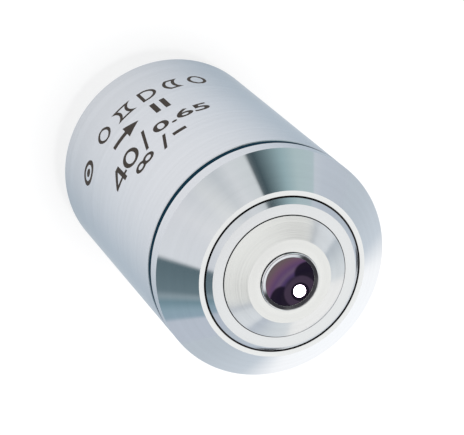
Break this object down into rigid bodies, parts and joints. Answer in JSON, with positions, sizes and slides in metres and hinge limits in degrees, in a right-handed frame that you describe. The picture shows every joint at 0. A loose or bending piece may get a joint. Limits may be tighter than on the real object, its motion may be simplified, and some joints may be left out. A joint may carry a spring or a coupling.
{
  "type": "microscope objective",
  "caption": "Chromed microscope objective: plain barrel, thin coloured ring, 45 degree nose cone, spring-loaded retracting front cell and threaded rear mount.",
  "frame": {"origin": "on the optical axis, in the plane of the mounting shoulder that meets the nosepiece", "axes": "+Z along the optical axis towards the specimen (front lens up), +X to the right and +Y to the back when the engraved side faces the viewer; the guide pin is on the +Y side"},
  "size_m": [0.026, 0.026, 0.047],
  "materials": {
    "satin_chrome": "satin",
    "bright_chrome": "polished",
    "ring_paint": "gloss",
    "bare_brass": "turned",
    "cell_brass": "blackened",
    "spring_steel": "drawn",
    "black_metal": "matt",
    "spacer_aluminium": "black anodised",
    "coated_glass": "purple coating",
    "crown_glass": "clear",
    "flint_glass": "clear"
  },
  "bodies": {
    "outer_body": {"mount_body": "satin_chrome", "guide_tube": "bare_brass", "barrel_sleeve": "satin_chrome", "colour_ring": "ring_paint", "nose_cone": "bright_chrome", "spring_seat": "spring_steel", "return_spring": "spring_steel"},
    "lens_unit": {"front_sleeve": "bright_chrome", "front_cell": "bright_chrome", "front_lens_bezel": "bright_chrome", "shim_front": "bare_brass", "shim_rear": "bare_brass", "lens_barrel": "cell_brass", "second_cell": "cell_brass", "doublet_a_cell": "cell_brass", "triplet_cell": "cell_brass", "centring_cell": "cell_brass", "rear_cell": "cell_brass", "guide_pin": "spring_steel", "centring_screws": "spring_steel", "aperture_stop": "black_metal", "retaining_ring": "black_metal", "spacer_middle": "spacer_aluminium", "spacer_rear": "spacer_aluminium", "front_lens": "coated_glass", "second_lens": "crown_glass", "doublet_a_crown": "crown_glass", "triplet_crown": "crown_glass", "doublet_b_crown": "crown_glass", "rear_convex_lens": "crown_glass", "doublet_a_flint": "flint_glass", "triplet_front_flint": "flint_glass", "triplet_rear_flint": "flint_glass", "doublet_b_flint": "flint_glass", "rear_concave_lens": "flint_glass"}
  },
  "joints": [
    {"name": "front_retract", "type": "slide", "parent": "outer_body", "child": "lens_unit", "axis": [0, 0, -1], "range_m": [0, 0.0025], "stiffness_N_per_m": 600, "springref_m": -0.004, "deforming": ["return_spring"]}
  ]
}
